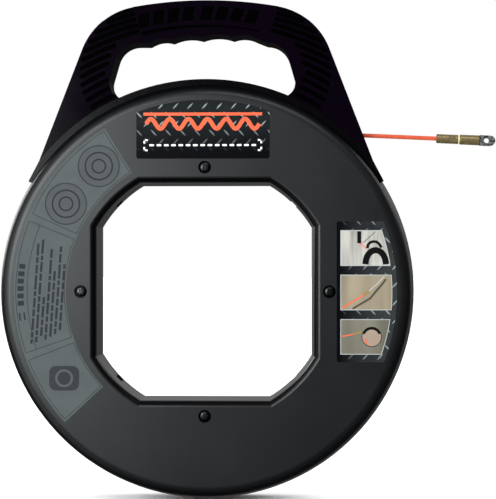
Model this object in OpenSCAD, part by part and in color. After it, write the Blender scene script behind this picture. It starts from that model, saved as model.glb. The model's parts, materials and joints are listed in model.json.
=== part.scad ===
// Fish tape reel: a donut-shaped case that turns inside a carrying handle.
// +X is right, -Y is the front, +Z is up. The origin is the centre of the grip.

/* [Case] */
// Diameter of the case at the rim slot
case_d = 305; // [304.6:0.1:305.4]
// Thickness of the closed case
case_w = 50; // [48:1:54]
// Wall thickness of the case
case_wall = 2.5; // [2.3:0.1:2.6]
// Width of the slot between the two halves at the rim
slot_w = 7; // [7:0.1:7.4]
// Radius between the rim and each face
rim_round = 8; // [7:0.5:9]
// Slope of the rim, in degrees
rim_slope = 10; // [9:0.5:11]

/* [Centre opening] */
// Half width between the flats, at the parting plane
flat_half = 77.5; // [76:0.5:78]
// Radius of the four corners, at the parting plane
corner_r = 90.5; // [89:0.5:91]
// Slope of the opening's wall, in degrees
wall_slope = 5; // [3:0.5:5]
// Radius between the opening's wall and each face
shoulder_r = 5; // [4:0.5:5]

/* [Tape] */
// Width of the tape, along the reel's axis
tape_w = 4.5; // [4:0.1:4.8]
// Thickness of the tape
tape_t = 3; // [2.6:0.1:3]
// Downward slope of the free tape, in degrees
tape_slope = 2.6; // [2:0.1:3]
// Length of the tape from its tangent point to its sleeve
tape_out = 164; // [160:1:200]

/* [Handle] */
// Thickness of the handle
handle_w = 32; // [30:1:34]
// Height of the grip's top above the reel's axis
grip_top = 213; // [212.5:0.5:214]
// Lean of the handle's sides, in degrees
side_lean = 21.2; // [21:0.1:21.5]
// Number of fanned grooves on each shoulder
groove_n = 12; // [8:1:12]

/* [Fasteners] */
// Radius of the circle of case screws
screw_ring = 90.5; // [90:0.5:91]
// Diameter of the screws' thread
thread_d = 3.9; // [3.6:0.1:3.9]

/* [Hidden] */
$fn = 96;
eps = 1;
axis_drop = 200;

// Case
case_r = case_d / 2;
half_w = case_w / 2;
slot_half = slot_w / 2;
round_h = half_w - rim_round;
rim_run = round_h + rim_round * sin(rim_slope) - slot_half;
face_r = case_r - rim_round * cos(rim_slope) - rim_run * tan(rim_slope);
shoulder_h = half_w - shoulder_r + 0.05;
far = 400;
drum_in = 98.5;
drum_out = 101;
boss_r = 6.5;
chamber_over = 10;
rib_w = 3;
seat_h = half_w - 3;
recess_r = 4.7;
parting_groove = 0.4;
hole_gap = 0.25;
window_l = 5.6;
window_h = 8;
window_slit_l = 26;
window_slit_h = 0.7;

// Screws and inserts
thread_r = thread_d / 2;
clear_r = thread_r + hole_gap;
tapped_r = thread_r + 0.05;
head_r = 3.75;
head_h = 2.3;
cross_w = 1.1;
cross_l = 4.4;
cross_h = 1.3;
case_screw_l = 30;
insert_r = 2.8;
insert_l = 9;
insert_band_at = [2.6, 5.6];
insert_band_w = 0.8;
insert_band_depth = 0.4;

// Tape coil and the clip that holds its inner end
coil_in = 101.3;
coil_out = 117.9;
coil_half = 21.5;
anchor_a = 225;
anchor_h = -10;
clip_t = 1;
clip_l = 14;
clip_w = 10;
clip_r = 101.05;
anchor_thread_r = 1.45;
anchor_head_r = 2.8;
anchor_head_h = 1.6;
anchor_thread_l = 5;
anchor_slot_w = 0.7;
anchor_slot_depth = 0.7;
anchor_boss_r = 4;
anchor_boss_in = 95;
anchor_notch_l = 18;
anchor_notch_w = 13;

// Labels
label_t = 0.2;
label_r = 139.5;
top_label_x = -1.3;
top_label_half = 48.5;
top_label_low = 96.7;
picture_label_x = 95.8;
picture_label_half = 51;
side_label_in = 101.4;
side_label_a0 = 121.5;
side_label_a1 = 223;

// Handle outline, about the reel's axis
handle_half = handle_w / 2;
handle_wall = 3;
top_arc_r = 306;
top_arc_y = grip_top - top_arc_r;
shoulder_arc_r = 49.5;
shoulder_x = 44.4;
shoulder_y = top_arc_y + sqrt(pow(top_arc_r - shoulder_arc_r, 2) - pow(shoulder_x, 2));
shoulder_top_a = atan2(shoulder_y - top_arc_y, shoulder_x);
side_reach = shoulder_x * cos(side_lean) + shoulder_y * sin(side_lean) + shoulder_arc_r;
strip_out = 155.4;
side_foot_y = 70;

// Finger opening
gap_x = -2.5;
gap_top_x = 47.6;
gap_top_y = 165;
gap_top_r = 16.6;
gap_low_x = 57.3;
gap_low_y = 152.5;
gap_low_r = 10.8;
gap_side_a = 14;
gap_foot_a = -65;
finger_x = [-42, -25, -3, 20, 38];
finger_crown_x = 8;
finger_crown_y = 186;
finger_crown_r = 280;
finger_depth = 1.9;

// Grooves and the row of blocks on the handle's faces
groove_half = 1.6;
groove_depth = 1.2;
groove_first_r = 158.6;
groove_pitch = 6.2;
groove_pitch_fall = 0.108;
groove_edge = 3.2;
groove_gap = 7.5;
groove_low_in = 25;
groove_top_in = 14.6;
block_in = 198.5;
block_out = 208.5;
block_a = 2.3;
block_pitch = 3.1;
block_slant = 0.35;
block_rows = [-11.2, 1.9];
arc_groove_r = 194.2;
arc_groove_a0 = 13.6;
arc_groove_a1 = -12;
arc_groove_half = [1.3, 0.5];

// Handle screws: two in the feet, two in the shoulders, two in the grip
foot_screw_r = 164.5;
foot_screw_a = 36.5;
shoulder_screw = [76, 178.5];
grip_screw = [31, 199];
handle_screw_at = [
    for (side = [-1, 1]) each [
        [side * foot_screw_r * sin(foot_screw_a), foot_screw_r * cos(foot_screw_a)],
        [side * shoulder_screw[0], shoulder_screw[1]],
        [side * grip_screw[0], grip_screw[1]]
    ]
];
handle_boss_r = 5.2;
handle_recess_r = 4;
handle_seat = handle_half - handle_wall;
handle_screw_l = 22;
handle_hole_h = 10;

// Saddle rail
rail_gap = 0.4;
rail_in = case_r + rail_gap;
rail_end_a = 58.2;
web_half = slot_half - 0.3;
flange_in = 146.2;
flange_out = 148.7;
flange_half = 8;
lug_half = 3;
lug_w = 11;
lug_out = 169.5;
lug_gap = 0.3;
tip_low = [130.2, 80.6];
tip_high = [121.9, 96.4];

// Tape line: lengths along it start at its tangent point
tape_line = 119.9;
tape_tail = 20;
guide_start = 99.6;
guide_end = 108;
guide_r = 3.7;
guide_bore = 2.6;
guide_flange_r = 4.6;
guide_flange_at = 105;
guide_flange_t = 1.4;
guide_block_half = 7;
guide_mouth = 0.4;
guide_mouth_l = 1.2;
passage_r = 3.15;

// Pieces on the tape's end
sleeve_r = 3.35;
sleeve_l = 15.8;
sleeve_grip = 8;
crimp_at = 9;
crimp_l = 5.4;
crimp_half = 2.75;
stud_in = 5.8;
collar_r = 3.25;
collar_l = 1.2;
coupler_r = 3.65;
coupler_l = 14.5;
end_chamfer = 0.35;
coupler_at = tape_out + sleeve_l + collar_l;
eye_at = coupler_at + coupler_l;
eye_half = 3.8;
eye_t = 4.6;
eye_l = 7.8;
eye_hole_at = 5.2;
eye_hole_r = 1.9;
eye_stud_l = 7;

// Points along an arc from angle a0 to angle a1
function arc(x, y, r, a0, a1, n) =
    [for (i = [0:n]) let (a = a0 + (a1 - a0) * i / n) [x + r * cos(a), y + r * sin(a)]];

// The same points mirrored in the Y axis, in reverse order
function mirrored(points) =
    [for (i = [len(points) - 1:-1:0]) [-points[i][0], points[i][1]]];

// Points moved along X
function moved_x(points, x) = [for (p = points) [p[0] + x, p[1]]];

// Frame of the reel: +X right, +Y up, +Z to the front, with its origin on the reel's axis
module reel_frame() {
    translate([0, 0, -axis_drop]) rotate([90, 0, 0]) children();
}

// Frame of the tape: +X along the free tape, from its tangent point
module tape_frame(at) {
    reel_frame() rotate([0, 0, -tape_slope]) translate([at, tape_line, 0]) children();
}

// Solid turned about the tape's own line
module along_tape() {
    rotate([0, 90, 0]) children();
}

// ---------- Case ----------

// Half section of the case's outside, moved inwards by inset
module rim_section(inset) {
    slope_x = (rim_round - inset) * cos(rim_slope);
    slope_h = round_h + (rim_round - inset) * sin(rim_slope);
    foot_x = face_r + slope_x + slope_h * tan(rim_slope);
    polygon(concat(
        [[0, 0], [foot_x, 0]],
        arc(face_r, round_h, rim_round - inset, rim_slope, 90, 10),
        [[0, half_w - inset]]
    ));
}

// Half section of the centre opening, for a wall that starts at half at the parting plane
module opening_section(half) {
    round_x = half + shoulder_h * tan(wall_slope) + shoulder_r * cos(wall_slope);
    polygon(concat(
        [[0, -eps], [half - eps * tan(wall_slope), -eps]],
        arc(round_x, shoulder_h - shoulder_r * 0.01, shoulder_r, 180 - wall_slope, 95, 6),
        [[round_x, half_w + eps], [0, half_w + eps]]
    ));
}

// Half section of the opening's wall on its hidden side
module wall_section(half) {
    polygon([
        [0, -2 * eps], [half - 2 * eps * tan(wall_slope), -2 * eps],
        [half + half_w * tan(wall_slope), half_w], [0, half_w]
    ]);
}

// Prism that limits the opening between two flats
module flats(half, grown) {
    rotate([90, 0, 0]) linear_extrude(height = far, center = true) {
        for (side = [0, 1]) mirror([side, 0]) {
            if (grown) wall_section(half);
            else opening_section(half);
        }
    }
}

// Shape of the centre opening: four flats and four round corners
module opening_shape(grow, grown) {
    intersection() {
        rotate_extrude() {
            if (grown) wall_section(corner_r + grow);
            else opening_section(corner_r + grow);
        }
        flats(flat_half + grow, grown);
        rotate([0, 0, 90]) flats(flat_half + grow, grown);
    }
}

// Places its children at the four case screws
module at_case_screws() {
    for (a = [0:90:270]) rotate([0, 0, a]) translate([screw_ring, 0, 0]) children();
}

// Bosses for the case screws, tied to the opening's wall and to the drum
module case_bosses() {
    at_case_screws() {
        cylinder(r = boss_r, h = half_w);
        translate([-screw_ring + flat_half, -rib_w / 2, 0])
            cube([drum_out - flat_half - eps / 2, rib_w, half_w]);
    }
}

// Hollow between the opening's wall and the drum
module hub_hollow() {
    difference() {
        translate([0, 0, -eps]) cylinder(r = drum_in, h = half_w - case_wall + eps);
        opening_shape(case_wall, true);
        case_bosses();
    }
}

// Space for the tape, and the slot at the rim
module tape_chamber() {
    rotate_extrude() difference() {
        union() {
            rim_section(case_wall);
            translate([0, -eps]) square([case_r + chamber_over, slot_half + eps]);
        }
        translate([-eps, -2 * eps]) square([drum_out + eps, case_w]);
    }
}

// Windows through the opening's wall, at its four corners
module wall_windows() {
    for (a = [45:90:315]) rotate([0, 0, a]) {
        translate([corner_r - 2 * case_wall, -window_l / 2, -eps])
            cube([drum_in - corner_r, window_l, window_h + eps]);
        translate([corner_r - 2 * case_wall, -window_slit_l / 2, -eps])
            cube([drum_in - corner_r, window_slit_l, window_slit_h + eps]);
    }
}

// One half of the case, above the parting plane
module case_half() {
    difference() {
        rotate_extrude() rim_section(0);
        opening_shape(0, false);
        intersection() {
            opening_shape(parting_groove, false);
            translate([-far / 2, -far / 2, -eps]) cube([far, far, eps + parting_groove]);
        }
        tape_chamber();
        hub_hollow();
    }
}

module front_case() {
    color("#34383a") reel_frame() difference() {
        case_half();
        wall_windows();
        at_case_screws() {
            translate([0, 0, -eps]) cylinder(r = clear_r, h = case_w);
            translate([0, 0, seat_h]) cylinder(r = recess_r, h = half_w);
        }
    }
}

module rear_case() {
    color("#2b2e30") reel_frame() difference() {
        union() {
            mirror([0, 0, 1]) case_half();
            anchor_radial(anchor_boss_in)
                cylinder(r = anchor_boss_r, h = drum_in - anchor_boss_in + eps);
        }
        at_case_screws() translate([0, 0, -insert_l]) cylinder(r = insert_r, h = insert_l + eps);
        anchor_radial(anchor_boss_in + eps)
            cylinder(r = anchor_thread_r + 0.05, h = drum_out - anchor_boss_in);
        mirror([0, 0, 1]) wall_windows();
    }
}

// ---------- Screws ----------

// Cross-recess pan head with its shank pointing down, seated at the origin
module pan_screw(length) {
    difference() {
        union() {
            translate([0, 0, -length]) cylinder(r = thread_r, h = length + eps / 2);
            rotate_extrude() polygon(concat(
                [[0, 0], [head_r, 0], [head_r, head_h * 0.45]],
                [for (t = [1:5]) [head_r * cos(t * 15), head_h * (0.45 + 0.55 * sin(t * 18))]],
                [[0, head_h]]
            ));
        }
        for (a = [0, 90]) rotate([0, 0, a])
            translate([-cross_l / 2, -cross_w / 2, head_h - cross_h]) cube([cross_l, cross_w, head_h]);
    }
}

module case_screws() {
    color("#1b1b1d") reel_frame() at_case_screws()
        translate([0, 0, seat_h]) rotate([0, 0, 30]) pan_screw(case_screw_l);
}

module case_inserts() {
    color("#b59a4c") reel_frame() at_case_screws() translate([0, 0, -insert_l]) difference() {
        cylinder(r = insert_r, h = insert_l);
        translate([0, 0, -eps]) cylinder(r = tapped_r, h = insert_l + 2 * eps);
        for (h = insert_band_at) translate([0, 0, h]) difference() {
            cylinder(r = insert_r + eps, h = insert_band_w);
            translate([0, 0, -eps])
                cylinder(r = insert_r - insert_band_depth, h = insert_band_w + 2 * eps);
        }
    }
}

module handle_screws() {
    color("#1b1b1d") reel_frame() mirror([0, 0, 1]) for (p = handle_screw_at)
        translate([p[0], p[1], handle_seat]) pan_screw(handle_screw_l);
}

// ---------- Tape in the case ----------

// Places its children on the drum, pointing away from the reel's axis
module anchor_radial(r) {
    rotate([0, 0, anchor_a]) translate([r, 0, anchor_h]) rotate([0, 90, 0]) children();
}

module tape_coil() {
    color("#e0583c") reel_frame() difference() {
        translate([0, 0, -coil_half]) cylinder(r = coil_out, h = 2 * coil_half);
        translate([0, 0, -coil_half - eps]) cylinder(r = coil_in, h = 2 * coil_half + 2 * eps);
        rotate([0, 0, anchor_a]) translate([drum_in, -anchor_notch_l / 2, anchor_h - anchor_notch_w / 2])
            cube([clip_r + clip_t + anchor_head_h + 0.8 - drum_in, anchor_notch_l, anchor_notch_w]);
    }
}

module tape_anchor_clip() {
    color("#a8abae") reel_frame() difference() {
        rotate([0, 0, anchor_a]) translate([clip_r, -clip_l / 2, anchor_h - clip_w / 2])
            cube([clip_t, clip_l, clip_w]);
        anchor_radial(clip_r - eps) cylinder(r = anchor_thread_r + 0.2, h = clip_t + 2 * eps);
    }
}

module tape_anchor_screw() {
    seat = clip_r + clip_t;
    color("#8e9194") reel_frame() difference() {
        union() {
            anchor_radial(seat - anchor_thread_l)
                cylinder(r = anchor_thread_r, h = anchor_thread_l + anchor_head_h / 2);
            anchor_radial(seat) cylinder(r = anchor_head_r, h = anchor_head_h);
        }
        rotate([0, 0, anchor_a])
            translate([
                seat + anchor_head_h - anchor_slot_depth,
                -anchor_head_r - eps,
                anchor_h - anchor_slot_w / 2
            ])
                cube([anchor_slot_depth + eps, 2 * (anchor_head_r + eps), anchor_slot_w]);
    }
}

// ---------- Labels ----------

module label_plate() {
    reel_frame() translate([0, 0, half_w]) linear_extrude(height = label_t) children();
}

module top_label() {
    color("#14171a") label_plate() intersection() {
        circle(r = label_r);
        translate([top_label_x - top_label_half, top_label_low]) square([2 * top_label_half, label_r]);
    }
}

module picture_label() {
    color("#14171a") label_plate() intersection() {
        circle(r = label_r);
        translate([picture_label_x, -picture_label_half]) square([label_r, 2 * picture_label_half]);
    }
}

module side_label() {
    color("#5a6064") label_plate() intersection() {
        difference() {
            circle(r = label_r);
            circle(r = side_label_in);
        }
        polygon(concat([[0, 0]], arc(0, 0, label_r * 2, side_label_a0, side_label_a1, 4)));
    }
}

// ---------- Handle ----------

// Outline of the handle, moved inwards by inset
module handle_outline(inset) {
    reach = side_reach - inset;
    foot_x = (reach - side_foot_y * sin(side_lean)) / cos(side_lean);
    side = concat(
        [[foot_x, side_foot_y]],
        arc(shoulder_x, shoulder_y, shoulder_arc_r - inset, side_lean, shoulder_top_a, 14)
    );
    crown = arc(0, top_arc_y, top_arc_r - inset, shoulder_top_a, 180 - shoulder_top_a, 20);
    inner_crown = [for (i = [1:len(crown) - 2]) crown[i]];
    difference() {
        polygon(concat(side, inner_crown, mirrored(side)));
        circle(r = strip_out + inset, $fn = 180);
    }
}

// Height of the ridge between two fingers
function ridge_y(x) =
    finger_crown_y - finger_crown_r + sqrt(pow(finger_crown_r, 2) - pow(x - finger_crown_x, 2));

// Finger opening, grown by grow
module finger_gap(grow) {
    side = concat(
        [[gap_low_x - 6, gap_low_y - 30]],
        arc(gap_low_x, gap_low_y, gap_low_r + grow, gap_foot_a, gap_side_a, 8),
        arc(gap_top_x, gap_top_y, gap_top_r + grow, gap_side_a, 90, 8)
    );
    scallops = [
        for (i = [len(finger_x) - 2:-1:0]) each [
            for (t = [0:0.125:0.875])
                let (x = finger_x[i + 1] + (finger_x[i] - finger_x[i + 1]) * t)
                [x, ridge_y(x) + grow + finger_depth * 4 * t * (1 - t)]
        ]
    ];
    last = [[finger_x[0], ridge_y(finger_x[0]) + grow]];
    polygon(concat(moved_x(side, gap_x), scallops, last, moved_x(mirrored(side), gap_x)));
}

// Radius of groove i, and the angles of its two ends from the vertical
function groove_r(i) = groove_first_r + groove_pitch * i - groove_pitch_fall * i * i;
function side_end(r) = 90 - side_lean - acos((side_reach - groove_edge) / r);
function circle_end(r, x, y, reach) =
    let (d = sqrt(x * x + y * y))
    atan2(x, y) + acos((r * r + d * d - reach * reach) / (2 * r * d));
function groove_out(r) = min(
    side_end(r),
    circle_end(r, shoulder_x, shoulder_y, shoulder_arc_r - groove_edge)
);
function groove_in(i, r) = i > 6 ? groove_top_in : max(
    i < 4 ? groove_low_in : 0,
    circle_end(r, gap_top_x, gap_top_y, gap_top_r + groove_gap)
);

// Curved slot between two angles from the vertical, with round ends
module slot_outline(r, a0, a1, half0, half1) {
    polygon(concat(
        [for (t = [0:0.125:1]) let (a = a0 + (a1 - a0) * t, w = half0 + (half1 - half0) * t)
            [(r + w) * sin(a), (r + w) * cos(a)]],
        arc(r * sin(a1), r * cos(a1), half1, 60 - a1, -60 - a1, 4),
        [for (t = [1:-0.125:0]) let (a = a0 + (a1 - a0) * t, w = half0 + (half1 - half0) * t)
            [(r - w) * sin(a), (r - w) * cos(a)]],
        arc(r * sin(a0), r * cos(a0), half0, 240 - a0, 120 - a0, 4)
    ));
}

// Slanted block of the row on the grip
module block_outline(a) {
    polygon([
        for (c = [[-1, -1], [1, -1], [1, 1], [-1, 1]])
            let (r = c[1] < 0 ? block_in : block_out)
            let (b = a + c[0] * block_a / 2 + c[1] * block_slant)
            [r * sin(b), r * cos(b)]
    ]);
}

// Everything sunk into a face of the handle
module face_pattern() {
    for (i = [0:groove_n - 1]) {
        r = groove_r(i);
        for (side = [0, 1]) mirror([side, 0])
            slot_outline(r, groove_in(i, r), groove_out(r), groove_half, groove_half);
    }
    for (start = block_rows, k = [0:3]) block_outline(start + k * block_pitch - block_pitch / 2);
    slot_outline(arc_groove_r, -arc_groove_a0, -arc_groove_a1, arc_groove_half[0], arc_groove_half[1]);
}

// Cylinder along the tape's line, between two lengths along it
module tape_bore(from, to, r) {
    rotate([0, 0, -tape_slope]) translate([from, tape_line, 0])
        rotate([0, 90, 0]) cylinder(r = r, h = to - from);
}

// Solid part of each half round the exit guide
module guide_block() {
    rotate([0, 0, -tape_slope])
        translate([guide_start - 4, tape_line - guide_block_half])
            square([20, 2 * guide_block_half]);
}

// One half of the handle, above the parting plane
module handle_half_shell() {
    difference() {
        linear_extrude(height = handle_half) difference() {
            handle_outline(0);
            finger_gap(0);
        }
        translate([0, 0, -eps]) linear_extrude(height = handle_seat + eps) difference() {
            handle_outline(handle_wall);
            finger_gap(handle_wall);
            for (p = handle_screw_at) translate(p) circle(r = handle_boss_r);
            guide_block();
        }
        translate([0, 0, handle_half - groove_depth]) linear_extrude(height = groove_depth + eps)
            face_pattern();
        for (side = [-1, 1]) rotate([0, 0, -side * foot_screw_a])
            translate([-lug_w / 2 - lug_gap, strip_out - eps, -eps])
                cube([lug_w + 2 * lug_gap, lug_out - strip_out + eps + lug_gap, lug_half + eps + 0.05]);
        tape_bore(guide_start - 5, guide_end, guide_r);
        tape_bore(guide_flange_at, guide_flange_at + guide_flange_t, guide_flange_r);
        tape_bore(guide_end - eps, guide_end + 12, passage_r);
    }
}

module handle_front() {
    color("#1c1422") reel_frame() difference() {
        handle_half_shell();
        for (p = handle_screw_at) translate([p[0], p[1], -eps])
            cylinder(r = tapped_r, h = handle_hole_h + eps);
    }
}

module handle_rear() {
    color("#1c1422") reel_frame() mirror([0, 0, 1]) difference() {
        handle_half_shell();
        for (p = handle_screw_at) translate([p[0], p[1], 0]) {
            translate([0, 0, -eps]) cylinder(r = clear_r, h = handle_w);
            translate([0, 0, handle_seat]) cylinder(r = handle_recess_r, h = handle_half);
        }
    }
}

// Half section of the rail: strip outside the rim, web in the slot, flange inside
module rail_section() {
    strip_edge = rail_in - (handle_half - slot_half) * tan(rim_slope);
    for (side = [0, 1]) mirror([0, side]) polygon([
        [flange_in, -0.01], [flange_in, flange_half], [flange_out, flange_half],
        [flange_out, web_half], [rail_in, web_half], [rail_in, slot_half],
        [strip_edge, handle_half], [strip_out, handle_half], [strip_out, -0.01]
    ]);
}

// Everything beyond the tapered tip of the strip
module tip_cut() {
    run = (tip_low - tip_high) * 3;
    translate([0, 0, -far / 2]) linear_extrude(height = far)
        polygon([tip_high - run, tip_low + run, tip_low + run + [60, 0], tip_high - run + [60, 0]]);
}

module saddle_rail() {
    color("#211a27") reel_frame() difference() {
        union() {
            rotate([0, 0, 90 - rail_end_a]) rotate_extrude(angle = 2 * rail_end_a) rail_section();
            for (side = [-1, 1]) rotate([0, 0, -side * foot_screw_a])
                translate([-lug_w / 2, strip_out - eps, -lug_half])
                    cube([lug_w, lug_out - strip_out + eps, 2 * lug_half]);
        }
        for (side = [0, 1]) mirror([side, 0, 0]) tip_cut();
        for (side = [-1, 1]) rotate([0, 0, -side * foot_screw_a])
            translate([0, foot_screw_r, -far / 2]) cylinder(r = clear_r, h = far);
        tape_bore(70, guide_start, passage_r);
        tape_bore(guide_start - 0.2, 120, guide_r);
    }
}

module exit_guide() {
    color("#3a3d40") tape_frame(0) difference() {
        union() {
            translate([guide_start, 0, 0]) along_tape() cylinder(r = guide_r, h = guide_end - guide_start);
            translate([guide_flange_at, 0, 0]) along_tape() cylinder(r = guide_flange_r, h = guide_flange_t);
        }
        translate([guide_start - eps, 0, 0]) along_tape() cylinder(r = guide_bore, h = 20);
        for (m = [0, 1]) translate([m == 0 ? guide_start - 0.1 : guide_end + 0.1, 0, 0])
            rotate([0, m == 0 ? 90 : -90, 0])
                cylinder(r1 = guide_r - guide_mouth, r2 = guide_bore - 0.1, h = guide_mouth_l);
    }
}

// ---------- Tape and the pieces on its end ----------

// Section of the tape: flat, with round edges
module tape_section(grow) {
    half = tape_t / 2 + grow;
    flat = (tape_w - tape_t) / 2;
    polygon(concat(
        arc(flat, 0, half, -90, 90, 8),
        arc(-flat, 0, half, 90, 270, 8)
    ));
}

module tape_leader() {
    color("#e0583c") tape_frame(-tape_tail) along_tape()
        linear_extrude(height = tape_tail + tape_out + sleeve_grip) tape_section(0);
}

module crimp_ferrule() {
    color("#766740") tape_frame(tape_out) difference() {
        along_tape() cylinder(r = sleeve_r, h = sleeve_l);
        translate([-eps, 0, 0]) along_tape()
            linear_extrude(height = sleeve_grip + eps) tape_section(0.02);
        translate([sleeve_l - stud_in, 0, 0]) along_tape() cylinder(r = tapped_r, h = stud_in + eps);
        for (side = [0, 1]) mirror([0, 0, side])
            translate([crimp_at, -sleeve_r, crimp_half]) cube([crimp_l, 2 * sleeve_r, sleeve_r]);
    }
}

module joining_stud() {
    color("#cfc8a8") tape_frame(tape_out + sleeve_l) union() {
        translate([-stud_in + 0.3, 0, 0]) along_tape() cylinder(r = thread_r, h = 2 * stud_in);
        along_tape() cylinder(r = collar_r, h = collar_l);
    }
}

module threaded_coupler() {
    color("#766740") tape_frame(coupler_at) difference() {
        along_tape() rotate_extrude() polygon([
            [0, 0], [coupler_r - end_chamfer, 0], [coupler_r, end_chamfer],
            [coupler_r, coupler_l - end_chamfer], [coupler_r - end_chamfer, coupler_l], [0, coupler_l]
        ]);
        translate([-eps, 0, 0]) along_tape() cylinder(r = tapped_r, h = coupler_l + 2 * eps);
    }
}

module eyelet() {
    color("#7d8285") tape_frame(eye_at) difference() {
        union() {
            translate([0, 0, -eye_t / 2]) linear_extrude(height = eye_t)
                polygon(concat([[0, eye_half], [0, -eye_half]], arc(eye_l, 0, eye_half, -90, 90, 16)));
            translate([-eye_stud_l, 0, 0]) along_tape() cylinder(r = thread_r, h = eye_stud_l + eps);
        }
        translate([eye_hole_at, 0, -eye_t]) cylinder(r = eye_hole_r, h = 2 * eye_t);
    }
}

front_case();
rear_case();
case_screws();
case_inserts();
tape_coil();
tape_anchor_clip();
tape_anchor_screw();
top_label();
picture_label();
side_label();
handle_front();
handle_rear();
handle_screws();
saddle_rail();
exit_guide();
tape_leader();
crimp_ferrule();
joining_stud();
threaded_coupler();
eyelet();
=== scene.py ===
"""Fish tape reel: a case that turns inside a carrying handle, with its labels, tape and end fittings."""

import json
import math

import bmesh
import bpy
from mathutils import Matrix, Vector

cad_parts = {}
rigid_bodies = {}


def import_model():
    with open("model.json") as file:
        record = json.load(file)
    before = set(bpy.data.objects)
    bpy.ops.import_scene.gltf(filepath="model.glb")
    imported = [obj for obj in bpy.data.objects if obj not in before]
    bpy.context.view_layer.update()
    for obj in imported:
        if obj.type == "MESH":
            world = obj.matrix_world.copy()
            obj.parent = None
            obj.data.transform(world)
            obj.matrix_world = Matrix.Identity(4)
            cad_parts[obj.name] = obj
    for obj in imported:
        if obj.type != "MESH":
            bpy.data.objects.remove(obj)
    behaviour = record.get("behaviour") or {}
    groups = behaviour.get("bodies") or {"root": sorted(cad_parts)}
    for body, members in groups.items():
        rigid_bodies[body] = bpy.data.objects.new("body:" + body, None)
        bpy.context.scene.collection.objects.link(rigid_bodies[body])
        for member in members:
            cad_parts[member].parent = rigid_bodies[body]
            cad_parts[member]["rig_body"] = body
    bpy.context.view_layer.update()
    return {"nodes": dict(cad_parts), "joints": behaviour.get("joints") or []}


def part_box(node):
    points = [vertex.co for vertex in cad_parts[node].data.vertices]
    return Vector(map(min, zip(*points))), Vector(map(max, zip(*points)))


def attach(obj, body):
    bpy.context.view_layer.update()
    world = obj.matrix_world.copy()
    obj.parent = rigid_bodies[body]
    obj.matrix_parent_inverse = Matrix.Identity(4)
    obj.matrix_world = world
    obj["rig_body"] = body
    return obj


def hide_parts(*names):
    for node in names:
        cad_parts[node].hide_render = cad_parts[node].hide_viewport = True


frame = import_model()

MM = 0.001

# ---------- Places that come from the frame ----------

joints = {j["name"]: j for j in frame["joints"]}
AXIS = Vector(joints["reel_spin"]["pos_m"])
TAPE_DIR = Vector(joints["tape_feed"]["axis"]).normalized()
TAPE_UP = Vector((0, 1, 0)).cross(TAPE_DIR)
LABEL_H = -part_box("top_label")[0].y / MM
HANDLE_FACE = -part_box("handle_front")[0].y
FLOOR_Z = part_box("front_case")[0].z


def on_reel(x, y, h):
    """Point in metres from millimetres about the reel's axis: right, up and towards the front."""
    return Vector((AXIS.x + x * MM, -h * MM, AXIS.z + y * MM))


def arc(x, y, r, a0, a1, n):
    """Points along an arc about (x, y), from angle a0 to a1 in degrees."""
    angles = [math.radians(a0 + (a1 - a0) * i / n) for i in range(n + 1)]
    return [(x + r * math.cos(a), y + r * math.sin(a)) for a in angles]


def polar(r, a):
    """Point at radius r and angle a in degrees, about the reel's axis."""
    return r * math.cos(math.radians(a)), r * math.sin(math.radians(a))


# ---------- Camera ----------

CAMERA_AT = Vector((0.0867, -1.4, -0.1709))
CAMERA_AIM = Vector((0.0305, 0.0, -0.1693))
CAMERA_LENS = 136.8


def add_camera():
    """Camera at the photograph's viewing angle."""
    data = bpy.data.cameras.new("camera")
    data.lens = CAMERA_LENS
    data.sensor_width = 36
    data.clip_start = 0.01
    data.clip_end = 100
    camera = bpy.data.objects.new("camera", data)
    bpy.context.scene.collection.objects.link(camera)
    camera.location = CAMERA_AT
    camera.rotation_mode = "QUATERNION"
    camera.rotation_quaternion = (CAMERA_AIM - CAMERA_AT).to_track_quat("-Z", "Y")
    bpy.context.scene.camera = camera


add_camera()

# ---------- Node graphs ----------


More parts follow.
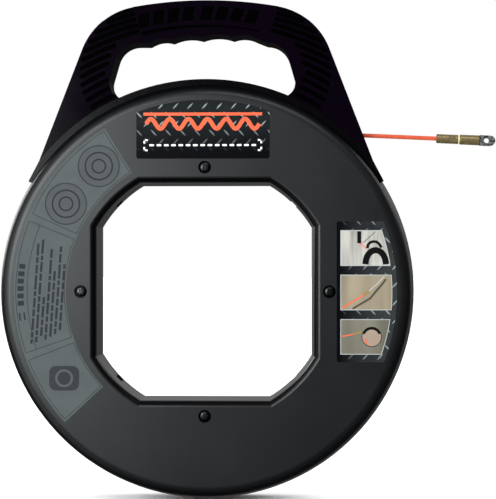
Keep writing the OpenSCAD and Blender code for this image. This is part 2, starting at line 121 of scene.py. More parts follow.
class Shader:
    """A material on its Principled shader, with short calls for the nodes that feed it."""

    def __init__(self, name, color, rough, metal=0.0, specular=0.5):
        self.mat = bpy.data.materials.new(name)
        self.mat.use_nodes = True
        self.tree = self.mat.node_tree
        self.surface = self.tree.nodes["Principled BSDF"]
        values = {
            "Metallic": metal, "Roughness": rough, "Specular IOR Level": specular,
            "Base Color": (*color, 1),
        }
        for socket, value in values.items():
            self.surface.inputs[socket].default_value = value
        self.color = color
        self.place = self.add("ShaderNodeTexCoord").outputs["Object"]

    def add(self, kind, **settings):
        node = self.tree.nodes.new(kind)
        for name, value in settings.items():
            setattr(node, name, value)
        return node

    def feed(self, node, **inputs):
        """Link or set a node's inputs, by name or as i and a number, and give its first output."""
        for name, value in inputs.items():
            socket = node.inputs[int(name[1:])] if name[1:].isdigit() else node.inputs[name]
            if isinstance(value, bpy.types.NodeSocket):
                self.tree.links.new(value, socket)
            else:
                socket.default_value = value
        return node.outputs[0]

    def scaled(self, x, y, z):
        """Object coordinates stretched by x, y and z."""
        return self.feed(self.add("ShaderNodeVectorMath", operation="MULTIPLY"), i0=self.place, i1=(x, y, z))

    def noise(self, scale, detail=3.0, rough=0.5, place=None):
        node = self.add("ShaderNodeTexNoise")
        return self.feed(node, Vector=place or self.place, Scale=scale, Detail=detail, Roughness=rough)

    def speckle(self, scale):
        return self.feed(self.add("ShaderNodeTexVoronoi"), Vector=self.place, Scale=scale)

    def span(self, value, low, high, to_low=0.0, to_high=1.0):
        """Value from low to high mapped on to_low to to_high, and held there beyond."""
        node = self.add("ShaderNodeMapRange", clamp=True)
        return self.feed(node, i0=value, i1=low, i2=high, i3=to_low, i4=to_high)

    def math(self, operation, a, b=0.0):
        return self.feed(self.add("ShaderNodeMath", operation=operation), i0=a, i1=b)

    def mix(self, share, a, b):
        """Colour from a to b by share."""
        node = self.add("ShaderNodeMix", data_type="RGBA")
        a = (*a, 1) if isinstance(a, tuple) else a
        b = (*b, 1) if isinstance(b, tuple) else b
        self.feed(node, i0=share, i6=a, i7=b)
        return node.outputs[2]

    def mix_number(self, share, a, b):
        """Number from a to b by share."""
        return self.feed(self.add("ShaderNodeMix", data_type="FLOAT"), i0=share, i2=a, i3=b)

    def parts(self):
        """The three object coordinates."""
        node = self.add("ShaderNodeSeparateXYZ")
        self.feed(node, i0=self.place)
        return node.outputs

    def to(self, name, value):
        self.tree.links.new(value, self.surface.inputs[name])

    def bump(self, height, distance):
        node = self.add("ShaderNodeBump")
        self.feed(node, Strength=1.0, Distance=distance, Height=height)
        self.to("Normal", node.outputs[0])


def varied(s, amount, scale):
    """Base colour that drifts lighter and darker by amount in patches."""
    patches = s.span(s.noise(scale, 4.0, 0.6), 0.3, 0.7)
    dark = tuple(c * (1 - amount) for c in s.color)
    light = tuple(min(1.0, c * (1 + amount)) for c in s.color)
    return s.mix(patches, dark, light)


def scuffs(s, low, high):
    """Share of pale scuffs, drawn out upwards: none where the noise is under low, full over high."""
    return s.span(s.noise(150, 6.0, 0.7, s.scaled(1.0, 1.0, 0.35)), low, high)


def cloudy(s, rough, drift):
    """Roughness that drifts by drift in soft clouds."""
    return s.span(s.noise(17, 5.0, 0.6), 0.25, 0.75, rough - drift, rough + drift)


def film_grain(s):
    """Faint grain of a printed label's film."""
    s.bump(s.noise(1500, 2.0, 0.5), 0.00001)


def moulded_plastic(name, color, rough, grain_scale, grain_depth, rub, specular, hair):
    """Moulded plastic: fine grain, cloudy gloss, hairline scratches and pale scuffs."""
    s = Shader(name, color, rough, specular=specular)
    scuffed = tuple(c + rub for c in color)
    s.to("Base Color", s.mix(scuffs(s, 0.68, 0.86), varied(s, 0.12, 28), scuffed))
    hairs = s.span(s.noise(420, 2.0, 0.5, s.scaled(1.0, 1.0, 0.02)), 0.62, 0.72, 0.0, hair)
    s.to("Roughness", s.math("ADD", cloudy(s, rough, 0.05), hairs))
    s.bump(s.noise(grain_scale, 2.0, 0.5), grain_depth)
    return s.mat


def case_plastic(name, color, rough):
    """Grained case plastic. Painted shade darkens the smooth shoulder round the centre opening and the
    duller rim.
    """
    hole_zone = (100.5 * MM, 99.5 * MM)
    shoulder_top = (24.9 * MM, 24.5 * MM)
    shoulder_foot = (18.2 * MM, 19.2 * MM)
    rim_zone = (144.5 * MM, 148.5 * MM)
    # Painted shade: a near-black base colour on the opening's shoulder, just below the face
    painted_shoulder_shade = (0.0012, 0.0012, 0.0015)
    # Painted shade: the outer rim's base colour darkened to about a third of the case plastic
    painted_rim_shade = tuple(0.35 * c for c in color)
    worn_color = tuple(c + 0.004 for c in color)
    s = Shader(name, color, rough)
    x, y, z = s.parts()[0:3]
    up = s.math("SUBTRACT", z, AXIS.z)
    radius = s.math("SQRT", s.math("ADD", s.math("MULTIPLY", x, x), s.math("MULTIPLY", up, up)))
    depth = s.math("ABSOLUTE", y)
    below_face = s.math("MULTIPLY", s.span(depth, *shoulder_top), s.span(depth, *shoulder_foot))
    shoulder = s.math("MULTIPLY", s.span(radius, *hole_zone), below_face)
    rim = s.span(radius, *rim_zone)
    base = s.mix(scuffs(s, 0.70, 0.88), varied(s, 0.15, 28), worn_color)
    # Painted shade is laid over the base colour here, on the shoulder and on the rim
    s.to("Base Color", s.mix(shoulder, s.mix(rim, base, painted_rim_shade), painted_shoulder_shade))
    s.to("Roughness", s.mix_number(shoulder, cloudy(s, rough, 0.035), 0.24))
    s.to("Specular IOR Level", s.mix_number(shoulder, s.mix_number(rim, 0.5, 0.16), 0.14))
    s.bump(s.noise(1400, 2.0, 0.5), 0.00004)
    return s.mat


def coated_tape(name, color):
    """Smooth coated tape: faint lines along X and rubbed patches."""
    s = Shader(name, color, 0.34, specular=0.2)
    lines = s.noise(900, 2.0, 0.5, s.scaled(0.03, 1.0, 1.0))
    rubbed = s.span(s.noise(140, 5.0, 0.6, s.scaled(0.3, 1.0, 1.0)), 0.55, 0.8)
    dusty = tuple(0.8 * c + 0.02 for c in color)
    s.to("Base Color", s.mix(rubbed, varied(s, 0.08, 60), dusty))
    s.to("Roughness", s.span(rubbed, 0.0, 1.0, 0.3, 0.5))
    s.bump(lines, 0.00005)
    return s.mat


def worn_metal(name, color, dark, rough, metal=1.0, stain_scale=260, stain_end=0.72):
    """Metal with turning lines round X, patchy stains and small dents."""
    s = Shader(name, color, rough, metal=metal)
    stain = s.span(s.noise(stain_scale, 6.0, 0.65), 0.42, stain_end)
    s.to("Base Color", s.mix(stain, color, dark))
    lines = s.noise(700, 2.0, 0.5, s.scaled(1.0, 0.05, 0.05))
    pits = s.span(s.speckle(900), 0.0, 0.25, -1.0, 0.0)
    s.to("Roughness", s.span(stain, 0.0, 1.0, rough - 0.06, rough + 0.18))
    s.bump(s.math("ADD", lines, s.math("MULTIPLY", pits, 0.3)), 0.00006)
    return s.mat


def ink(name, color, rough=0.42):
    """Printed ink under a satin film."""
    s = Shader(name, color, rough, specular=0.05)
    s.to("Base Color", varied(s, 0.06, 90))
    s.to("Roughness", s.span(s.noise(60, 4.0, 0.6), 0.3, 0.7, rough - 0.04, rough + 0.05))
    film_grain(s)
    return s.mat


def draped(name, color, folds):
    """Ink of a printed picture's background, with soft upright folds of light and shade."""
    s = Shader(name, color, 0.42, specular=0.05)
    fold = s.span(s.noise(folds, 2.0, 0.5, s.scaled(1.0, 1.0, 0.12)), 0.3, 0.7)
    shaded, lit = (tuple(share * c for c in color) for share in (0.62, 1.25))
    s.to("Base Color", s.mix(fold, shaded, lit))
    film_grain(s)
    return s.mat


def tread(s, x, y, slant, shift_x, shift_y, pitch_x, pitch_y, half_l, half_w):
    """Share of one set of slanted lozenges at a place, on a grid of the given pitch."""
    turn = math.radians(slant)

    # A wrapped coordinate keeps its sign, so that each lozenge leans the same way
    def wrapped(value, shift, pitch):
        node = s.add("ShaderNodeMath", operation="WRAP")
        return s.feed(node, i0=s.math("ADD", value, shift), i1=pitch / 2, i2=-pitch / 2)

    u = wrapped(x, shift_x, pitch_x)
    v = wrapped(y, shift_y, pitch_y)
    along = s.math("ADD", s.math("MULTIPLY", u, math.cos(turn)), s.math("MULTIPLY", v, math.sin(turn)))
    across = s.math("SUBTRACT", s.math("MULTIPLY", v, math.cos(turn)), s.math("MULTIPLY", u, math.sin(turn)))
    far = s.math("POWER", s.math("ABSOLUTE", s.math("DIVIDE", along, half_l)), 2.0)
    wide = s.math("ABSOLUTE", s.math("DIVIDE", across, half_w))
    return s.span(s.math("ADD", far, wide), 1.15, 0.75)


def tread_print(name, fade_axis, fade_from, fade_to, ground, light):
    """Print of a tread plate that fades into black along one axis."""
    slant = 47
    pitch_x, pitch_y = 10.6 * MM, 13.0 * MM
    half_l, half_w = 3.2 * MM, 0.55 * MM
    black = (0.002, 0.002, 0.003)
    s = Shader(name, ground, 0.30, specular=0.04)
    xyz = s.parts()
    x, z = xyz[0], xyz[2]
    sizes = (pitch_x, pitch_y, half_l, half_w)
    rising = tread(s, x, z, slant, 0.0, 0.0, *sizes)
    falling = tread(s, x, z, -slant, pitch_x / 2, pitch_y / 2, *sizes)
    marks = s.math("MAXIMUM", rising, falling)
    fade = s.span(xyz[fade_axis], fade_from, fade_to)
    sheen = s.span(s.noise(45, 5.0, 0.65), 0.25, 0.75, 0.45, 1.0)
    shown = s.math("MULTIPLY", fade, sheen)
    s.to("Base Color", s.mix(s.math("MULTIPLY", marks, shown), s.mix(shown, black, ground), light))
    film_grain(s)
    return s.mat


M = {
    "case": case_plastic("case_plastic", (0.0030, 0.0037, 0.0045), 0.36),
    "handle": moulded_plastic(
        "handle_plastic", (0.0017, 0.0007, 0.0024), 0.12,
        grain_scale=1100, grain_depth=0.00001, rub=0.0004, specular=0.045, hair=0.0,
    ),
    # Painted shade: a far darker, duller copy of the handle plastic, for the groove floors and the finger
    # opening's wall
    "handle_painted_shade": moulded_plastic(
        "handle_painted_shade", (0.0002, 0.0001, 0.0003), 0.5,
        grain_scale=1100, grain_depth=0.00002, rub=0.0001, specular=0.006, hair=0.02,
    ),
    "rail": moulded_plastic(
        "rail_plastic", (0.0012, 0.0009, 0.0015), 0.20,
        grain_scale=1600, grain_depth=0.00003, rub=0.001, specular=0.12, hair=0.03,
    ),
    "tape": coated_tape("tape_coating", (0.47, 0.070, 0.029)),
    "brass": worn_metal("brass", (0.25, 0.195, 0.090), (0.17, 0.13, 0.058), 0.42, 0.7, 130),
    "bright": worn_metal("bright_metal", (0.95, 0.86, 0.52), (0.7, 0.6, 0.3), 0.3, 0.4),
    "steel": worn_metal("steel", (0.33, 0.35, 0.345), (0.012, 0.012, 0.014), 0.34, 0.7, 420, 0.56),
    "screw": worn_metal("black_oxide", (0.055, 0.056, 0.058), (0.02, 0.02, 0.022), 0.30),
    "tread_top": tread_print("tread_top", 2, -0.098, -0.076, (0.012, 0.0145, 0.015), (0.24, 0.27, 0.27)),
    "tread_side": tread_print("tread_side", 0, 0.098, 0.128, (0.030, 0.034, 0.035), (0.22, 0.25, 0.25)),
    "label_grey": ink("label_grey", (0.060, 0.069, 0.071), 0.5),
    "disc_grey": ink("disc_grey", (0.054, 0.060, 0.062), 0.5),
    "ink_dark": ink("ink_dark", (0.020, 0.022, 0.024), 0.5),
    "ink_line": ink("ink_line", (0.026, 0.029, 0.031), 0.5),
    "ink_orange": ink("ink_orange", (0.60, 0.095, 0.043)),
    "ink_white": ink("ink_white", (0.70, 0.71, 0.71)),
    "wall_print": draped("wall_print", (0.31, 0.305, 0.28), 240),
    "tan_print": draped("tan_print", (0.22, 0.185, 0.13), 60),
    "stone_print": draped("stone_print", (0.135, 0.13, 0.10), 40),
    "border_print": ink("border_print", (0.32, 0.34, 0.34)),
    "shadow_print": ink("shadow_print", (0.004, 0.004, 0.004)),
    "skin_print": ink("skin_print", (0.25, 0.19, 0.145)),
    "grey_print": ink("grey_print", (0.055, 0.048, 0.034)),
    "wire_print": ink("wire_print", (0.32, 0.32, 0.31)),
    "brass_print": ink("brass_print", (0.22, 0.145, 0.05)),
}

# ---------- Mesh helpers ----------


def add_piece(name, mesh, material, body, nodes=()):
    """Piece in place on its body, with a material and the CAD nodes that it stands for."""
    piece = bpy.data.objects.new(name, mesh)
    bpy.context.scene.collection.objects.link(piece)
    mesh.materials.clear()
    mesh.materials.append(material)
    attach(piece, body)
    if nodes:
        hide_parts(*nodes)
    return piece


def finished(bm, name):
    """Mesh from a bmesh, which is freed."""
    mesh = bpy.data.meshes.new(name)
    bm.to_mesh(mesh)
    bm.free()
    return mesh


def smooth(mesh, sharp):
    """Smooth shading, but for edges sharper than an angle in degrees."""
    mesh.shade_smooth()
    mesh.set_sharp_from_angle(angle=math.radians(sharp))


def softened(node, name, material, width, segments):
    """Copy of a CAD node with rounded edges. width is a size, or a function of an edge that gives it."""
    source = frame["nodes"][node]
    bm = bmesh.new()
    verts = [bm.verts.new(v.co) for v in source.data.vertices]
    for polygon in source.data.polygons:
        corners = [verts[i] for i in polygon.vertices]
        if len(set(corners)) > 2 and bm.faces.get(corners) is None:
            bm.faces.new(corners)
    bmesh.ops.remove_doubles(bm, verts=bm.verts, dist=2e-6)
    bmesh.ops.dissolve_degenerate(bm, dist=1e-6, edges=bm.edges)
    bmesh.ops.dissolve_limit(bm, angle_limit=math.radians(0.25), verts=bm.verts, edges=bm.edges)
    layer = bm.edges.layers.int.new("width")
    widths = []
    for e in bm.edges:
        if len(e.link_faces) != 2 or e.calc_face_angle() < math.radians(34):
            continue
        w = width(e) if callable(width) else width
        if w > 0:
            if w not in widths:
                widths.append(w)
            e[layer] = widths.index(w) + 1
    for k, w in enumerate(widths):
        edges = [e for e in bm.edges if e[layer] == k + 1 and len(e.link_faces) == 2]
        bmesh.ops.bevel(
            bm, geom=edges, offset=w, offset_type="OFFSET", segments=segments, profile=0.5,
            affect="EDGES", clamp_overlap=True,
        )
    mesh = finished(bm, name)
    mesh.validate()
    smooth(mesh, 50)
    piece = add_piece(name, mesh, material, source["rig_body"], [node])
    weighted = piece.modifiers.new("weighted", "WEIGHTED_NORMAL")
    weighted.keep_sharp = True
    return piece


def tube(name, points, section, up, material, body, node):
    """Closed tube of (across, up) points carried along a path. up(point) gives the way up there."""
    bm = bmesh.new()
    rings = []
    for i, p in enumerate(points):
        along = (points[min(i + 1, len(points) - 1)] - points[max(i - 1, 0)]).normalized()
        side = along.cross(up(p)).normalized()
        lift = side.cross(along).normalized()
        rings.append([bm.verts.new(p + side * a + lift * b) for a, b in section])
    n = len(section)
    for a, b in zip(rings, rings[1:]):
        for i in range(n):
            bm.faces.new([a[i], a[(i + 1) % n], b[(i + 1) % n], b[i]])
    bm.faces.new(rings[0][::-1])
    bm.faces.new(rings[-1])
    bmesh.ops.recalc_face_normals(bm, faces=bm.faces)
    mesh = finished(bm, name)
    smooth(mesh, 40)
    return add_piece(name, mesh, material, body, [node])


# ---------- Cords: the wound tape and its free end ----------

TAPE_W = 4.5 * MM
TAPE_T = 3.0 * MM


def tape_section(w, t, n):
    """Flat section with round edges: w along the reel's axis, t thick."""
    flat = (w - t) / 2
    right = arc(flat, 0, t / 2, -90, 90, n)
    left = arc(-flat, 0, t / 2, 90, 270, n)
    return right + left


def wound_path(drum_r, half, layers, pitch_r, pitch_h, end_a):
    """Centreline of the winding, from the drum outwards, in layers that run to and fro."""
    steps = 60
    climb = 0.3
    per_layer = 2 * half / pitch_h
    total = layers * per_layer
    n = int(total * steps)
    points = []
    for i in range(n + 1):
        turns = i / steps
        k = min(int(turns / per_layer), layers - 1)
        share = turns / per_layer - k
        h = half * (1 - 2 * share) * (1 if k % 2 else -1)
        rise = min(1.0, share * per_layer / climb) if k else 1.0
        r = drum_r + pitch_r * (k - 1 + rise)
        a = math.radians(end_a) + 2 * math.pi * (total - turns)
        points.append(on_reel(r * math.cos(a), r * math.sin(a), h))
    return points


def outward(p):
    """Direction from the reel's axis to a point."""
    return Vector((p.x - AXIS.x, 0, p.z - AXIS.z)).normalized()


def add_wound_tape():
    """The tape on its drum, in five layers of turns."""
    coil_low, coil_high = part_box("tape_coil")
    outer = (coil_high.x - coil_low.x) / 2 / MM
    half = (coil_high.y - coil_low.y) / 2 / MM - TAPE_W / MM / 2
    layers, pitch_r, pitch_h, end_a = 5, 3.28, 4.62, 87.4
    drum_r = outer - TAPE_T / MM / 2 - pitch_r * (layers - 1)
    points = wound_path(drum_r, half, layers, pitch_r, pitch_h, end_a)
    coil = tube(
        "wound_tape", points, tape_section(TAPE_W, TAPE_T, 3), outward,
        M["tape"], "reel", "tape_coil",
    )


def add_leader():
    """The straight end of the tape, from just above the winding to inside its sleeve."""
    low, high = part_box("tape_leader")
    middle = (low + high) / 2
    half = (high.x - low.x - TAPE_T * abs(TAPE_DIR.z)) / TAPE_DIR.x / 2
    start, end = middle - TAPE_DIR * half, middle + TAPE_DIR * half
    rings = 24
    points = [start.lerp(end, i / rings) for i in range(rings + 1)]
    leader = tube(
        "tape_leader_end", points, tape_section(TAPE_W, TAPE_T, 8), lambda p: TAPE_UP,
        M["tape"], "tape", "tape_leader",
    )


end_fittings = [
    softened("crimp_ferrule", "ferrule", M["brass"], 0.3 * MM, 3),
    softened("joining_stud", "stud", M["bright"], 0.2 * MM, 2),
    softened("threaded_coupler", "coupler", M["brass"], 0.3 * MM, 3),
    softened("eyelet", "eye", M["steel"], 0.7 * MM, 4),
]
add_wound_tape()
add_leader()

# ---------- Handle ----------

GROOVE_DEPTH = 1.2 * MM
UNDERSIDE_R = 156.5 * MM
FINGER_HALF, FINGER_TOP = 76 * MM, 188 * MM
GROOVE_ROUND, UNDERSIDE_ROUND, FINGER_ROUND, OUTER_ROUND = 0.45 * MM, 0.6 * MM, 4.5 * MM, 2.0 * MM


def by_fingers(x, y):
    """Whether a place on the handle, about the reel's axis, belongs to the finger opening."""
    return abs(x) < FINGER_HALF and y < FINGER_TOP


def handle_edge(e):
    """Width of an edge's round on a handle half: widest round the fingers, narrow in the grooves."""
    if min(abs(v.co.y) for v in e.verts) < HANDLE_FACE - 0.1 * MM:
        return 0
    if min(abs(v.co.y) for f in e.link_faces for v in f.verts) > HANDLE_FACE - 2 * MM:
        return GROOVE_ROUND
    middle = (e.verts[0].co + e.verts[1].co) / 2
    x, y = middle.x - AXIS.x, middle.z - AXIS.z
    if math.hypot(x, y) < UNDERSIDE_R:
        return UNDERSIDE_ROUND
    return FINGER_ROUND if by_fingers(x, y) else OUTER_ROUND


def shade_hollows(piece):
    """Painted shade: darker, duller plastic on the grooves' floors and on the wall round the fingers."""
    floor_y = HANDLE_FACE - GROOVE_DEPTH
    piece.data.materials.append(M["handle_painted_shade"])
    for face in piece.data.polygons:
        depths = [abs(piece.data.vertices[i].co.y) for i in face.vertices]
        x, y = face.center.x - AXIS.x, face.center.z - AXIS.z
        in_groove = abs(min(depths) - floor_y) < 0.05 * MM and max(depths) < HANDLE_FACE - 0.2 * MM
        upright = abs(face.normal.y) < 0.6 and max(depths) - min(depths) > 1.5 * MM
        off_underside = math.hypot(x, y) > UNDERSIDE_R - 0.5 * MM
        if in_groove or (upright and off_underside and by_fingers(x, y)):
            # Painted shade goes on these hollow faces
            face.material_index = 1


for side in ("front", "rear"):
    shade_hollows(
        softened(f"handle_{side}", f"handle_{side}_half", M["handle"], handle_edge, 3)
    )

# ---------- CAD nodes that stay as they are ----------


def finish_node(name, material):
    """Material of a CAD node that keeps its shape."""
    node = frame["nodes"][name]
    node.data.materials.clear()
    node.data.materials.append(material)


for name, material, slot in (
    ("front_case", "case", "case_plastic"),
    ("rear_case", "case", "case_plastic"),
    ("case_screws", "screw", "screw_black"),
    ("case_inserts", "brass", "brass"),
    ("tape_anchor_clip", "steel", "steel"),
    ("tape_anchor_screw", "steel", "steel"),
    ("handle_screws", "screw", "screw_black"),
    ("saddle_rail", "rail", "rail_plastic"),
    ("exit_guide", "rail", "rail_plastic"),
):
    finish_node(name, M[material])

# ---------- Labels ----------

# Heights of the printed layers' borders, in millimetres from the top of the label
LAYER_BORDERS = (-0.2, -0.08, -0.055, -0.035, -0.02, 0.0)
SHEET, GROUND, PRINT, OVERPRINT, TOP = range(len(LAYER_BORDERS) - 1)
LABEL_R = 139.5


def slab(bm, outline, h0, h1):
    """Flat plate over an outline in the reel's plane, from height h0 to h1 in millimetres."""
    low = [bm.verts.new(on_reel(x, y, h0)) for x, y in outline]
    high = [bm.verts.new(on_reel(x, y, h1)) for x, y in outline]
    n = len(outline)
    bm.faces.new(high)
    bm.faces.new(low[::-1])
    for i in range(n):
        bm.faces.new([low[i], low[(i + 1) % n], high[(i + 1) % n], high[i]])


def plates(name, outlines, layer, material, nodes=()):
    """Part of one printed layer: thin plates over outlines."""
    bm = bmesh.new()
    for outline in outlines:
        slab(bm, outline, LABEL_H + LAYER_BORDERS[layer], LABEL_H + LAYER_BORDERS[layer + 1])
    bmesh.ops.recalc_face_normals(bm, faces=bm.faces)
    add_piece(name, finished(bm, name), material, "reel", nodes)


def ring(x, y, r, w, a0=0, a1=360, n=48):
    """Outlines of the quads that make a ring or a part of one, of outer radius r and w wide."""
    outer, inner = arc(x, y, r, a0, a1, n), arc(x, y, r - w, a0, a1, n)
    return [outer[i:i + 2] + inner[i:i + 2][::-1] for i in range(n)]


def band(points, w):
    """Outlines of the quads that make a line of width w through points."""
    quads = []
    sides = []
    for i, p in enumerate(points):
        a = Vector(points[max(i - 1, 0)])
        b = Vector(points[min(i + 1, len(points) - 1)])
        d = (b - a).normalized()
        n = Vector((-d.y, d.x)) * w / 2
        sides.append(((p[0] + n.x, p[1] + n.y), (p[0] - n.x, p[1] - n.y)))
    for (a, b), (c, d) in zip(sides, sides[1:]):
        quads.append([a, b, d, c])
    return quads


def box_outline(x0, y0, x1, y1):
    """Corners of an upright box."""
    return [(x0, y0), (x1, y0), (x1, y1), (x0, y1)]


def rounded_box(x0, y0, x1, y1, r):
    """Outline of an upright box with round corners."""
    corners = [(x1 - r, y1 - r, 0), (x0 + r, y1 - r, 90), (x0 + r, y0 + r, 180), (x1 - r, y0 + r, 270)]
    return [p for x, y, a in corners for p in arc(x, y, r, a, a + 90, 6)]


def add_top_label():
    """Tread plate print with an orange bar and wave, and a dashed line between corner brackets."""
    low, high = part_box("top_label")
    x0, x1 = (low.x - AXIS.x) / MM, (high.x - AXIS.x) / MM
    foot = (low.z - AXIS.z) / MM
    corner = 2.0
    outline = arc(x0 + corner, foot + corner, corner, 180, 270, 6)
    outline += arc(x1 - corner, foot + corner, corner, 270, 360, 6)
    outline += arc(0, 0, LABEL_R, *(math.degrees(math.acos(x / LABEL_R)) for x in (x1, x0)), 24)
    plates("top_label_sheet", [outline], SHEET, M["tread_top"], ["top_label"])
    left, right = x0 + 5.2, x1 - 5.5
    bar_low, bar_high = 128.0, 130.2
    wave_y, wave_h, waves, wave_w, wave_inset = 122.0, 3.6, 6, 3.0, 2
    wave_l = right - left - 2 * wave_inset
    steps = 16 * waves
    wave = []
    for i in range(steps + 1):
        swing = math.sin(2 * math.pi * waves * i / steps)
        wave.append((left + wave_inset + wave_l * i / steps, wave_y + wave_h * swing))
    plates(
        "top_label_motif", [box_outline(left, bar_low, right, bar_high)] + band(wave, wave_w), PRINT,
        M["ink_orange"],
    )
    reach, line = 3.0, 1.2
    bracket_low, bracket_high = 102.2, 110.8
    marks = []
    for x, way in ((left, 1), (right, -1)):
        for y, up in ((bracket_low, 1), (bracket_high, -1)):
            for w, h in ((reach, line), (line, reach)):
                x_pair = sorted((x, x + way * w))
                y_pair = sorted((y, y + up * h))
                marks.append(box_outline(x_pair[0], y_pair[0], x_pair[1], y_pair[1]))
    dashes, dash_inset, dash_half = 15, 6, 1.7
    for i in range(dashes):
        x = left + dash_inset + (right - left - 2 * dash_inset) * i / (dashes - 1)
        marks.append(rounded_box(x - dash_half, 105.8, x + dash_half, 107.2, 0.6))
    plates("top_label_marks", marks, PRINT, M["ink_white"])


def panel(y0, y1, inset):
    """Outline of a picture panel whose right side follows the label's curve."""
    left, r = 98.5 + inset, 136.0 - inset
    y0, y1 = y0 + inset, y1 - inset
    a0, a1 = math.degrees(math.asin(y0 / r)), math.degrees(math.asin(y1 / r))
    return [(left, y1), (left, y0)] + arc(0, 0, r, a0, a1, 8)


def add_picture_label():
    """Tread plate print with three plain pictures of the tape in use."""
    low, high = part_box("picture_label")
    left = (low.x - AXIS.x) / MM
    half = (high.z - low.z) / 2 / MM
    end_a = math.degrees(math.asin(half / LABEL_R))
    corner = 1.5
    outline = arc(left + corner, half - corner, corner, 90, 180, 6)
    outline += arc(left + corner, corner - half, corner, 180, 270, 6)
    outline += arc(0, 0, LABEL_R, -end_a, end_a, 24)
    plates("picture_label_sheet", [outline], SHEET, M["tread_side"], ["picture_label"])
    panels = (
        ("upper", 18.8, 44.65, "wall_print"),
        ("middle", -13.3, 12.4, "tan_print"),
        ("lower", -45.4, -19.8, "stone_print"),
    )
    borders = [panel(y0, y1, 0) for name, y0, y1, tone in panels]
    plates("picture_borders", borders, GROUND, M["border_print"])
    for name, y0, y1, tone in panels:
        plates(f"picture_{name}", [panel(y0, y1, 0.5)], PRINT, M[tone])

    def draw(name, outlines, tone, layer=TOP):
        plates(name, outlines, layer, M[tone])

    # Upper picture: a wall box, the tape and a reel's rim
    arch = [
        (117.9, 31.6), (118.4, 34.0), (119.9, 35.7), (122.2, 36.5), (124.6, 36.2), (126.6, 34.6),
        (128.2, 32.0),
    ]
    rim_x, rim_y, rim_rx, rim_ry = 124.0, 19.6, 7.4, 10.6
    turns = [math.radians(a) for a in range(2, 181, 8)]
    rim = [(rim_x + rim_rx * math.cos(a), rim_y + rim_ry * math.sin(a)) for a in turns]
    moulding = [(114.6, 35.4), (119.0, 39.2), (123.8, 43.6)]
    tape = [(112.6, 35.0), (114.4, 34.0), (117.0, 31.3)]
    draw("upper_shapes", [box_outline(110.7, 35.2, 113.5, 43.9)] + band(arch, 2.0), "shadow_print")
    draw("upper_rim", band(rim, 4.5), "shadow_print")
    draw("upper_moulding", band(moulding, 0.5), "grey_print", layer=OVERPRINT)
    draw("upper_tape", band(tape, 0.7), "ink_orange")
    # Middle picture: the tape, its sleeve and a wire in a diagonal line, with their shadow
    shade = [(107.4, -12.2), (120.2, -4.6), (123.0, -1.0), (128.2, 5.0), (131.4, 9.2)]
    tape = [(99.8, -11.8), (107.4, -7.2), (115.2, -2.2)]
    wire = [(119.2, 0.4), (122.0, 3.2), (125.4, 6.0), (130.2, 11.4)]
    draw("middle_shadow", band(shade, 1.5), "grey_print")
    draw("middle_tape", band(tape, 0.95), "ink_orange")
    draw("middle_sleeve", band([tape[-1], wire[0]], 1.9), "brass_print")
    draw("middle_wire", band(wire, 0.8), "wire_print")
    # Lower picture: the tape going into a round hole
    hole, hole_r, inside_r = (121.1, -32.6), 7.3, 6.9
    thin_edge = ring(*hole, hole_r, 0.5, 160, 380, 30)
    thick_edge = ring(*hole, hole_r, 2.0, 20, 160, 20)
    tape = [(99.8, -32.2), (103.8, -31.6), (107.9, -30.5)]
    tip = [(116.6, -33.8), (117.2, -36.2), (118.7, -38.6)]
    draw("lower_edge", thin_edge + thick_edge, "shadow_print")
    draw("lower_inside", [arc(*hole, inside_r, 0, 352, 44)], "skin_print", layer=OVERPRINT)
    draw("lower_tape", band(tape, 0.85), "ink_orange")
    draw("lower_sleeve", band([tape[-1], (114.0, -29.0)], 1.3), "brass_print")
    draw("lower_tip", band(tip, 1.0), "ink_orange")


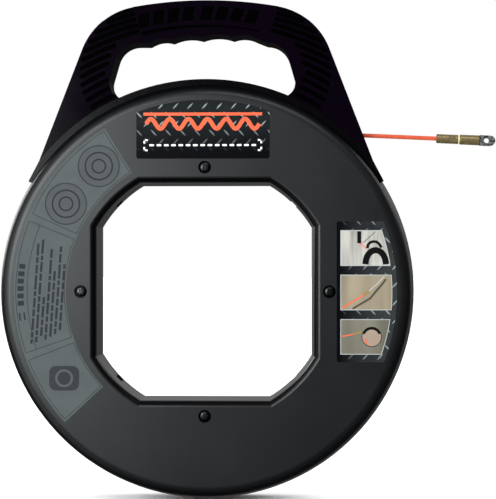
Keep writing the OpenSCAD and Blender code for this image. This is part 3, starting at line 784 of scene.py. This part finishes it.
def add_side_label():
    """Grey label in three outlined cells: two round marks, rows of bars and a badge."""
    inner, outer = 101.4, LABEL_R
    a0, a1 = 121.5, 223.0
    outline = arc(0, 0, outer, a0, a1, 40) + arc(0, 0, inner, a1, a0, 40)
    plates("side_label_sheet", [outline], SHEET, M["label_grey"], ["side_label"])
    cells = [(a0, 156.4), (157.4, 199.6), (200.6, a1)]
    inset, inset_a, line_w = 1.3, 0.7, 0.5
    low_r, high_r = inner + inset, outer - inset
    lines = ring(0, 0, 129.9, line_w, 158.2, 198.8, 30)
    for b0, b1 in cells:
        b0, b1 = b0 + inset_a, b1 - inset_a
        lines += ring(0, 0, low_r, line_w, b0, b1, 30) + ring(0, 0, high_r, line_w, b0, b1, 30)
        for b in (b0, b1):
            lines += band([polar(low_r - line_w, b), polar(high_r, b)], line_w)
    plates("side_label_lines", lines, GROUND, M["ink_line"])
    bars = []
    title_r, title_pitch, dash_w = 136.8, 2.3, 1.2
    for k in range(6):
        bars += ring(0, 0, title_r, 4.6, 171.4 + title_pitch * k, 172.9 + title_pitch * k, 2)
    for r in (title_r, 133.4):
        bars += ring(0, 0, r, dash_w, 186.6, 189.0, 3)
    lean = math.radians(4)
    rows = ((-38, 35), (-37, 38), (-36, -4), (-35, 31), (-33, 15), (-31, 33), (-28, 20))
    lengths = (8.6, 4.2, 6.4, 10.4, 3.4, 7.2, 5.2)
    first_x, row_pitch, bar_w, bar_gap, least = -123.8, 3.35, 1.7, 1.3, 3
    for k, (low, high) in enumerate(rows):
        x = first_x + row_pitch * k
        t, i = high, k * 3
        while t - low > least:
            step = min(lengths[i % len(lengths)], t - low)
            ends = [(x + u * math.sin(lean), u * math.cos(lean)) for u in (t, t - step)]
            bars += band(ends, bar_w)
            t, i = t - step - bar_gap, i + 1
    plates("side_label_bars", bars, PRINT, M["ink_dark"])
    discs, rings, marks = [], [], []
    disc_r = 15.4
    for r, a in ((119.6, 130.2), (119.7, 147.7)):
        x, y = polar(r, a)
        discs.append(arc(x, y, disc_r, 0, 352.5, 47))
        rings += ring(x, y, disc_r, 0.9)
        marks += ring(x, y, 10.5, 1.2) + ring(x, y, 5.5, 1.2)
    plates("side_label_discs", discs, GROUND, M["disc_grey"])
    plates("side_label_rings", rings, PRINT, M["ink_line"])
    plates("side_label_marks", marks, PRINT, M["ink_dark"])
    x, y = polar(120.4, 211.6)
    half_w, half_h = 11, 9
    badge = rounded_box(x - half_w, y - half_h, x + half_w, y + half_h, 5)
    plates("side_label_badge", [badge], GROUND, M["ink_line"])
    plates("side_label_badge_ring", ring(x, y, 6.5, 1.6), PRINT, M["label_grey"])


add_top_label()
add_picture_label()
add_side_label()

# ---------- Stage and lights ----------

# Strengths of the world: the dome that lights surfaces and the room that they reflect
DOME_SIDE, DOME_TOP = 0.45, 1.75
ROOM_SIDE, ROOM_TOP, ROOM_BACK, ROOM_LEFT = 0.01, 0.12, 0.6, 1.4


def add_floor():
    """White floor under the case, left out of reflections."""
    bm = bmesh.new()
    half = 12.0
    for x, y in ((-half, -half), (half, -half), (half, half), (-half, half)):
        bm.verts.new((x, y, FLOOR_Z))
    bm.faces.new(bm.verts)
    mesh = finished(bm, "floor")
    dark, light = (0.92, 0.92, 0.92), (0.94, 0.94, 0.94)
    s = Shader("floor_paint", (0.93, 0.93, 0.93), 0.9, specular=0.1)
    s.to("Base Color", s.mix(s.span(s.noise(3, 3.0, 0.5), 0.3, 0.7), dark, light))
    mesh.materials.append(s.mat)
    floor = bpy.data.objects.new("floor", mesh)
    bpy.context.scene.collection.objects.link(floor)
    floor.visible_glossy = False


def add_light(name, place, aim, size, power, color=(1, 1, 1)):
    """Area light at a place, aimed at a point, that the camera doesn't see."""
    data = bpy.data.lights.new(name, "AREA")
    data.shape = "RECTANGLE"
    data.size, data.size_y = size
    data.energy = power
    data.color = color
    light = bpy.data.objects.new(name, data)
    bpy.context.scene.collection.objects.link(light)
    light.location = place
    light.rotation_mode = "QUATERNION"
    light.rotation_quaternion = (Vector(aim) - Vector(place)).to_track_quat("-Z", "Y")
    light.visible_camera = False


def add_world():
    """White behind the object, a bright dome for diffuse light, and for reflections a dim room.

    The room is brighter at the back, at the top and on a panel at the front left.
    """
    world = bpy.data.worlds.new("studio")
    world.use_nodes = True
    tree = world.node_tree
    nodes, link = tree.nodes, tree.links.new
    rays = nodes.new("ShaderNodeLightPath")
    parts = nodes.new("ShaderNodeSeparateXYZ")
    link(nodes.new("ShaderNodeTexCoord").outputs["Generated"], parts.inputs[0])

    def ramp(value, low, high, to_low, to_high):
        node = nodes.new("ShaderNodeMapRange")
        node.clamp = True
        link(value, node.inputs[0])
        for i, number in enumerate((low, high, to_low, to_high)):
            node.inputs[i + 1].default_value = number
        return node.outputs[0]

    def combine(operation, a, b):
        node = nodes.new("ShaderNodeMath")
        node.operation = operation
        link(a, node.inputs[0])
        link(b, node.inputs[1])
        return node.outputs[0]

    def light(strength):
        node = nodes.new("ShaderNodeBackground")
        link(strength, node.inputs["Strength"])
        node.inputs["Color"].default_value = (1, 1, 1, 1)
        return node.outputs[0]

    def choose(share, a, b):
        node = nodes.new("ShaderNodeMixShader")
        for i, value in enumerate((share, a, b)):
            link(value, node.inputs[i])
        return node.outputs[0]

    right, back, up = (parts.outputs[axis] for axis in "XYZ")
    dome = ramp(up, 0.0, 0.8, DOME_SIDE, DOME_TOP)
    behind = combine("MULTIPLY", ramp(back, 0.2, 0.9, 0, ROOM_BACK), ramp(up, -0.05, 0.3, 0.3, 1.0))
    leftwards, frontwards = ramp(right, -0.9, -0.45, ROOM_LEFT, 0), ramp(back, -0.25, 0.0, 1.0, 0.0)
    panels = combine("ADD", behind, combine("MULTIPLY", leftwards, frontwards))
    room = combine("ADD", panels, ramp(up, 0.0, 1.0, ROOM_SIDE, ROOM_TOP))
    white = nodes.new("ShaderNodeBackground").outputs[0]
    white.node.inputs["Color"].default_value = (1, 1, 1, 1)
    indirect = choose(rays.outputs["Is Glossy Ray"], light(dome), light(room))
    link(choose(rays.outputs["Is Camera Ray"], indirect, white), nodes["World Output"].inputs[0])
    bpy.context.scene.world = world


add_floor()
add_world()
add_light("key", (-0.48, -1.0, 0.0), (-0.05, 0, -0.2), (0.45, 0.65), 8.6, (0.94, 1.0, 1.02))
add_light("back", (-1.3, 1.1, 0.3), (0, 0, -0.15), (0.8, 0.8), 14)
add_light("fill", (1.3, 0.7, 0.7), (0.1, 0, -0.15), (0.6, 0.6), 5)
add_light("strip", (0.2, -0.5, 0.5), (0.19, 0, -0.09), (0.5, 0.15), 1.2)
bpy.context.scene.view_settings.view_transform = "Standard"
